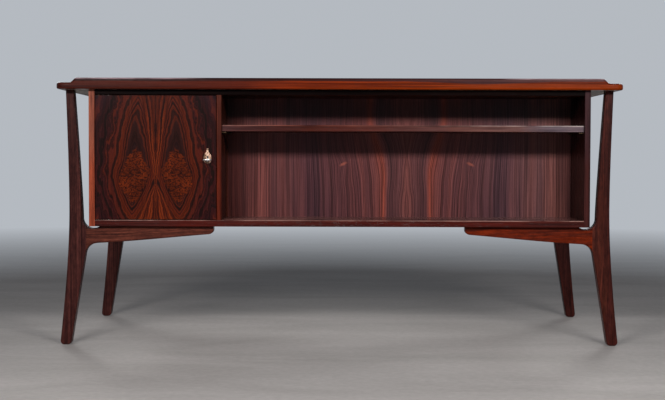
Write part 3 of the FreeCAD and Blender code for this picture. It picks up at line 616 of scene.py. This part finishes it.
pip_rise = plus(tree, above_knot, times(tree, from_knot, pip_slope))
pip = reach(tree, over(tree, from_knot, pip_half_w), over(tree, pip_rise, pip_half_h))
crumbs = noise(tree, times(tree, aside, 300.0), times(tree, z, 300.0), 1.0, 2.0)
pip = shaken(tree, pip, crumbs, pip_ragged)
colour = mix(tree, "MIX", times(tree, spread(tree, pip, 1.3, 0.4), pip_share), colour, pip_colour)
finish_wood(tree, shader, colour, z, x, y, roughness=0.27, gloss=0.10)
dress(back_veneer, "middle_panel")

# The shelves
# One long shelf in the bookcase and a short one behind the door, veneered boards that rest on pins.
# The long one's lipping is red heartwood at the cabinet end and turns pale toward the other.
shelf_tones = ((0.0, (0.80, 0.70, 0.70)), (0.25, (0.60, 0.25, 0.15)), (0.60, (0.80, 0.80, 0.80)),
               (0.90, (1.40, 2.20, 2.50)))
shelf_edge = lipping("bookcase_shelf", (0.096, 0.047, 0.050), worn=True, tones=shelf_tones)
shelf_wood = rosewood("shelf veneer", "X", "Y", leaf=0.20, heart=0.024, taper=0.015, seed=19.0,
                      edge=shelf_edge)
dress(shelf_wood, "bookcase_shelf")
dress(board_veneer, "cabinet_shelf")

# The bar cabinet door
# One panel faced with two book-matched leaves cut through a crotch of the log, whose burls
# stand as mirrored eyes either side of the match, with straight grain in a V between them.
door_low, door_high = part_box("door_panel")
match_x = (door_low.x + door_high.x) / 2
eye_from_match = 0.0605
eye_z = 0.468
eye_half_w = 0.0447
eye_above = 0.207
eye_below = 0.106
eye_power = 1.35
eye_slope = 0.05
eye_ring_pitch = 0.045
ripple_w = 0.026
wild_w = 0.075
eye_zones = ((0.37, (0.013, 0.004, 0.005)), (0.49, (0.034, 0.006, 0.006)),
             (0.61, (0.095, 0.014, 0.004)), (0.74, (0.034, 0.006, 0.005)))
rim_share = 0.85
rim_waver = 0.12
rim_tones = ((0.375, (0.011, 0.004, 0.004)), (0.400, (0.085, 0.013, 0.005)),
             (0.425, (0.010, 0.003, 0.003)), (0.450, (0.070, 0.010, 0.004)),
             (0.475, (0.095, 0.014, 0.005)), (0.495, (0.005, 0.002, 0.002)),
             (0.52, (0.075, 0.010, 0.004)))
door_veneer, tree, shader = new_material("door veneer")
x, y, z = object_axes(tree)
mirrored = size_of(tree, less(tree, x, match_x))
ripple = noise(tree, times(tree, mirrored, 14.0), times(tree, z, 9.0), 2.0, 4.0, 0.62)
bent = shaken(tree, mirrored, ripple, ripple_w)
rise = less(tree, z, eye_z)
aside = plus(tree, less(tree, bent, eye_from_match), times(tree, rise, eye_slope))
width_share = maths(tree, "POWER", size_of(tree, over(tree, aside, eye_half_w)), eye_power)


def diamond(above, below):
    """Distance from an eye's middle, 1 on a pointed outline that reaches so far above and below."""
    upright = maths(tree, "MAXIMUM", over(tree, rise, above), over(tree, rise, -below))
    total = plus(tree, width_share, maths(tree, "POWER", upright, eye_power))
    return maths(tree, "POWER", total, 1 / eye_power)


eye = diamond(eye_above, eye_below)
wild = noise(tree, times(tree, mirrored, 20.0), times(tree, z, 4.5), 8.0, 4.0, 0.62)
wild = times(tree, swing(tree, wild, wild_w), spread(tree, eye, 1.0, 1.7))
rings = maths(tree, "MULTIPLY_ADD", eye, eye_ring_pitch, wild)
along = times(tree, z, 0.5)
zones = noise(tree, times(tree, rings, 42.0), along, 15.0, 4.0, 0.62)
colour = ramp(tree, zones, *eye_zones)
rim = ramp(tree, shaken(tree, times(tree, eye, 0.5), zones, rim_waver), *rim_tones)
colour = mix(tree, "MIX", times(tree, spread(tree, eye, 1.10, 1.02), rim_share), colour, rim)
colour = grain_lines(tree, colour, rings, along, seed=15.0, strength=0.85, pitch=190.0)

flame_z = 0.445
flame_foot_w = 0.006
flame_shift = 0.002
flame_open_up = 0.145
flame_open_down = 0.52
flame_share = 0.9
flame_tones = ((0.38, (0.012, 0.003, 0.003)), (0.46, (0.060, 0.009, 0.004)),
               (0.53, (0.185, 0.029, 0.006)), (0.60, (0.075, 0.011, 0.004)))
cool_from_z = 0.54
cool_to_z = 0.66
cool_shade = (0.60, 0.58, 0.80)
flame_w = maths(tree, "MAXIMUM", times(tree, less(tree, z, flame_z), flame_open_up),
                times(tree, less(tree, flame_z, z), flame_open_down))
flame = over(tree, plus(tree, bent, flame_shift), plus(tree, flame_w, flame_foot_w))
flame_band = noise(tree, times(tree, flame, 7.0), times(tree, z, 3.0), 21.0, 4.0, 0.65)
flame_colour = ramp(tree, flame_band, *flame_tones)
flame_colour = grain_lines(tree, flame_colour, times(tree, flame, 0.05), along,
                           seed=24.0, strength=0.75, pitch=200.0)
flame_colour = mix(tree, "MULTIPLY", spread(tree, z, cool_from_z, cool_to_z), flame_colour, cool_shade)
flame_place = times(tree, spread(tree, flame, 1.12, 0.86), flame_share)
colour = mix(tree, "MIX", flame_place, colour, flame_colour)

burl_above = 0.090
burl_below = 0.088
burl_ragged = 0.7
burl_tones = ((0.14, (0.006, 0.002, 0.002)), (0.34, (0.062, 0.010, 0.004)), (0.62, (0.115, 0.018, 0.004)))
blush_tones = ((0.38, (0.62, 0.58, 0.66)), (0.60, (1.15, 1.05, 0.9)))
crumple = noise(tree, times(tree, mirrored, 55.0), times(tree, z, 40.0), 3.0, 4.0, 0.6, 1.0)
burl = shaken(tree, diamond(burl_above, burl_below), crumple, burl_ragged)
worm = noise(tree, times(tree, mirrored, 42.0), times(tree, z, 60.0), 5.0, 2.0, 0.6, 3.4)
worm = maths(tree, "PINGPONG", times(tree, worm, 7.0), 1.0)
blush = noise(tree, times(tree, mirrored, 30.0), times(tree, z, 24.0), 11.0, 3.0)
burl_colour = shaded(tree, ramp(tree, worm, *burl_tones), ramp(tree, blush, *blush_tones))
colour = mix(tree, "MIX", spread(tree, burl, 0.94, 0.84), colour, burl_colour)

corner_aside = (0.085, 0.165)
corner_z = (0.54, 0.68)
corner_need = 1.35
corner_fade = 0.45
corner_patchy = 1.6
corner_share = 0.60
corner_wood = (0.016, 0.006, 0.010)
patches = noise(tree, times(tree, mirrored, 9.0), times(tree, z, 5.0), 31.0, 3.0)
corner = plus(tree, spread(tree, mirrored, *corner_aside), spread(tree, z, *corner_z))
corner = plus(tree, less(tree, corner, corner_need), swing(tree, patches, corner_patchy))
corner = times(tree, spread(tree, corner, 0.0, corner_fade), corner_share)
colour = mix(tree, "MIX", corner, colour, corner_wood)
finish_wood(tree, shader, colour, z, mirrored, y, roughness=0.25, gloss=0.06)
dress(door_veneer, "door_panel")

# The hinges
# Knife hinges at the door's head and foot, a dull brass leaf with a pin let into the carcass
# and a leaf let into the door. Two slotted steel screws, sunk almost flush, hold each leaf.
head_r = 0.0024
head_h = 0.0007
head_edge = 0.0002
head_sides = 32
head_edge_steps = 3
head_smooth_deg = 35
head_proud = 0.0003
slot_w = 0.0006
slot_depth = 0.00025
leaf_t = 0.002
screw_from_end = 0.008
screw_pitch = 0.014
upwards = Vector((0, 0, 1))


def metal(name, patches, detail, dull, bright, smoothest):
    """Old metal, bright where it is rubbed and darker and duller where it has tarnished."""
    material, tree, shader = new_material(name)
    x, y, z = object_axes(tree)
    tarnish = noise(tree, times(tree, x, patches), times(tree, y, patches), times(tree, z, patches), detail)
    put(tree, ramp(tree, tarnish, dull, bright), shader.inputs["Base Color"])
    put(tree, maths(tree, "MULTIPLY_ADD", tarnish, 0.3, smoothest), shader.inputs["Roughness"])
    shader.inputs["Metallic"].default_value = 1.0
    return material


def small_head(place, facing, slot_turn=None, radius=head_r, height=head_h, edge=head_edge):
    """One small head, its rim rounded, on a surface that faces a given way."""
    bpy.ops.mesh.primitive_cylinder_add(vertices=head_sides, radius=radius, depth=height)
    head = bpy.context.object
    for polygon in head.data.polygons:
        polygon.select = polygon.normal.z > 0.9
    bpy.ops.object.mode_set(mode="EDIT")
    bpy.ops.mesh.select_mode(type="FACE")
    bpy.ops.mesh.bevel(offset=edge, segments=head_edge_steps)
    bpy.ops.object.mode_set(mode="OBJECT")
    if slot_turn is not None:
        bpy.ops.mesh.primitive_cube_add(size=1, location=(0, 0, height / 2))
        cutter = bpy.context.object
        cutter.scale = (3 * radius, slot_w, 2 * slot_depth)
        cutter.rotation_euler = (0, 0, slot_turn)
        cut = head.modifiers.new("slot", "BOOLEAN")
        cut.object = cutter
        bpy.ops.object.select_all(action="DESELECT")
        bpy.context.view_layer.objects.active = head
        head.select_set(True)
        bpy.ops.object.modifier_apply(modifier="slot")
        bpy.data.objects.remove(cutter)
    head.rotation_euler = Vector(facing).to_track_quat("Z", "Y").to_euler()
    head.location = Vector(place) + Vector(facing) * (head_proud - height / 2)
    bpy.ops.object.transform_apply(location=True, rotation=True, scale=True)
    return head


def one_piece(name, heads, material, body):
    """Join small heads into one piece that moves with a body."""
    bpy.ops.object.select_all(action="DESELECT")
    for head in heads:
        head.select_set(True)
    bpy.context.view_layer.objects.active = heads[0]
    bpy.ops.object.join()
    piece = bpy.context.object
    piece.name = name
    bpy.ops.object.shade_smooth_by_angle(angle=math.radians(head_smooth_deg))
    piece.data.materials.append(material)
    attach(piece, body)


dull_brass = metal("dull brass", patches=200.0, detail=3.0, dull=(0.35, (0.030, 0.019, 0.012)),
                   bright=(0.6, (0.075, 0.046, 0.028)), smoothest=0.35)
nickel = metal("worn nickel", patches=400.0, detail=3.0, dull=(0.35, (0.45, 0.42, 0.40)),
               bright=(0.6, (0.78, 0.74, 0.72)), smoothest=0.12)
leaf_low, leaf_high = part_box("hinge_plates_carcass")
door_leaf_low, door_leaf_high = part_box("hinge_plates_door")
leaf_y = (leaf_low.y + leaf_high.y) / 2
first_screw_x = leaf_high.x - screw_from_end
carcass_heads = []
door_heads = []
for screw_x, turn in ((first_screw_x, 0.4), (first_screw_x - screw_pitch, 1.3)):
    carcass_heads.append(small_head((screw_x, leaf_y, leaf_low.z + leaf_t), upwards, turn))
    carcass_heads.append(small_head((screw_x, leaf_y, leaf_high.z - leaf_t), -upwards, turn))
    door_heads.append(small_head((screw_x, leaf_y, door_leaf_low.z), -upwards, turn))
    door_heads.append(small_head((screw_x, leaf_y, door_leaf_high.z), upwards, turn))
one_piece("hinge_screws_carcass", carcass_heads, nickel, "root")
one_piece("hinge_screws_door", door_heads, nickel, "door")
dress(dull_brass, "hinge_plates_carcass", "hinge_plates_door")

# The lock
# A steel case let into the door's inner face, with a brass bolt that the key throws into a strike
# plate on the partition. Slotted screws hold both, and two round-headed brass pins the escutcheon.
case_low, case_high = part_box("lock_case")
strike_low, strike_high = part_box("strike_plate")
plate_low, plate_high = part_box("escutcheon")
screw_from_corner = 0.0045
slot_turn_per_m = 60
pin_r = 0.0008
pin_edge = 0.0003
pin_heights = (0.003, 0.029)
outwards = Vector((0, -1, 0))
leftwards = Vector((-1, 0, 0))
case_heads = []
for screw_x in (case_low.x + screw_from_corner, case_high.x - screw_from_corner):
    for screw_z in (case_low.z + screw_from_corner, case_high.z - screw_from_corner):
        turn = slot_turn_per_m * (screw_x + screw_z)
        case_heads.append(small_head((screw_x, case_high.y, screw_z), -outwards, turn))
one_piece("lock_case_screws", case_heads, nickel, "door")

strike_y = (strike_low.y + strike_high.y) / 2
strike_heads = []
for screw_z, turn in ((strike_low.z + screw_from_corner, 0.2), (strike_high.z - screw_from_corner, 1.1)):
    strike_heads.append(small_head((strike_low.x, strike_y, screw_z), leftwards, turn))
one_piece("strike_plate_screws", strike_heads, nickel, "root")

brass = metal("worn brass", patches=160.0, detail=4.0, dull=(0.42, (0.13, 0.07, 0.045)),
              bright=(0.62, (0.52, 0.34, 0.25)), smoothest=0.20)
plate_x = (plate_low.x + plate_high.x) / 2
pins = []
for height in pin_heights:
    pins.append(small_head((plate_x, plate_low.y, plate_low.z + height), outwards,
                           radius=pin_r, height=pin_r, edge=pin_edge))
one_piece("escutcheon_pins", pins, brass, "door")
dress(brass, "escutcheon", "lock_bolt", "strike_plate")
dress(nickel, "lock_case", "key")

# The drawers
# Rosewood fronts with a carved finger grip, dovetailed to sides of pale oak, on wooden runners.
oak_tones = ((0.35, (0.30, 0.17, 0.08)), (0.65, (0.48, 0.31, 0.16)))
oak_gloss = 0.2
lining, tree, shader = new_material("oak lining")
x, y, z = object_axes(tree)
grain = noise(tree, times(tree, x, 300.0), times(tree, y, 6.0), times(tree, z, 300.0), 3.0)
put(tree, ramp(tree, grain, *oak_tones), shader.inputs["Base Color"])
put(tree, maths(tree, "MULTIPLY_ADD", grain, 0.3, 0.35), shader.inputs["Roughness"])
shader.inputs["Specular IOR Level"].default_value = oak_gloss
relief(tree, shader, grain, strength=0.3)
front_wood = rosewood("drawer front wood", "X", "Z", heart=0.03, centre=0.5, taper=0.05, seed=17.0)
for side in ("left", "right"):
    for level in ("lower", "middle", "top"):
        drawer = "drawer_" + side + "_" + level
        dress(front_wood, drawer + "_front")
        dress(lining, drawer + "_box", drawer + "_bottom")
dress(lining, "drawer_runners")

# Screws, dowels and shelf pins
# Steel screws hold the arms to the carcass and the carcass to the top. Oak dowels hold the top
# to the legs, and brass pins in drilled holes carry the shelves.
dress(nickel, "arm_screws", "top_screws")
dress(lining, "leg_dowels")
dress(dull_brass, "shelf_pins")
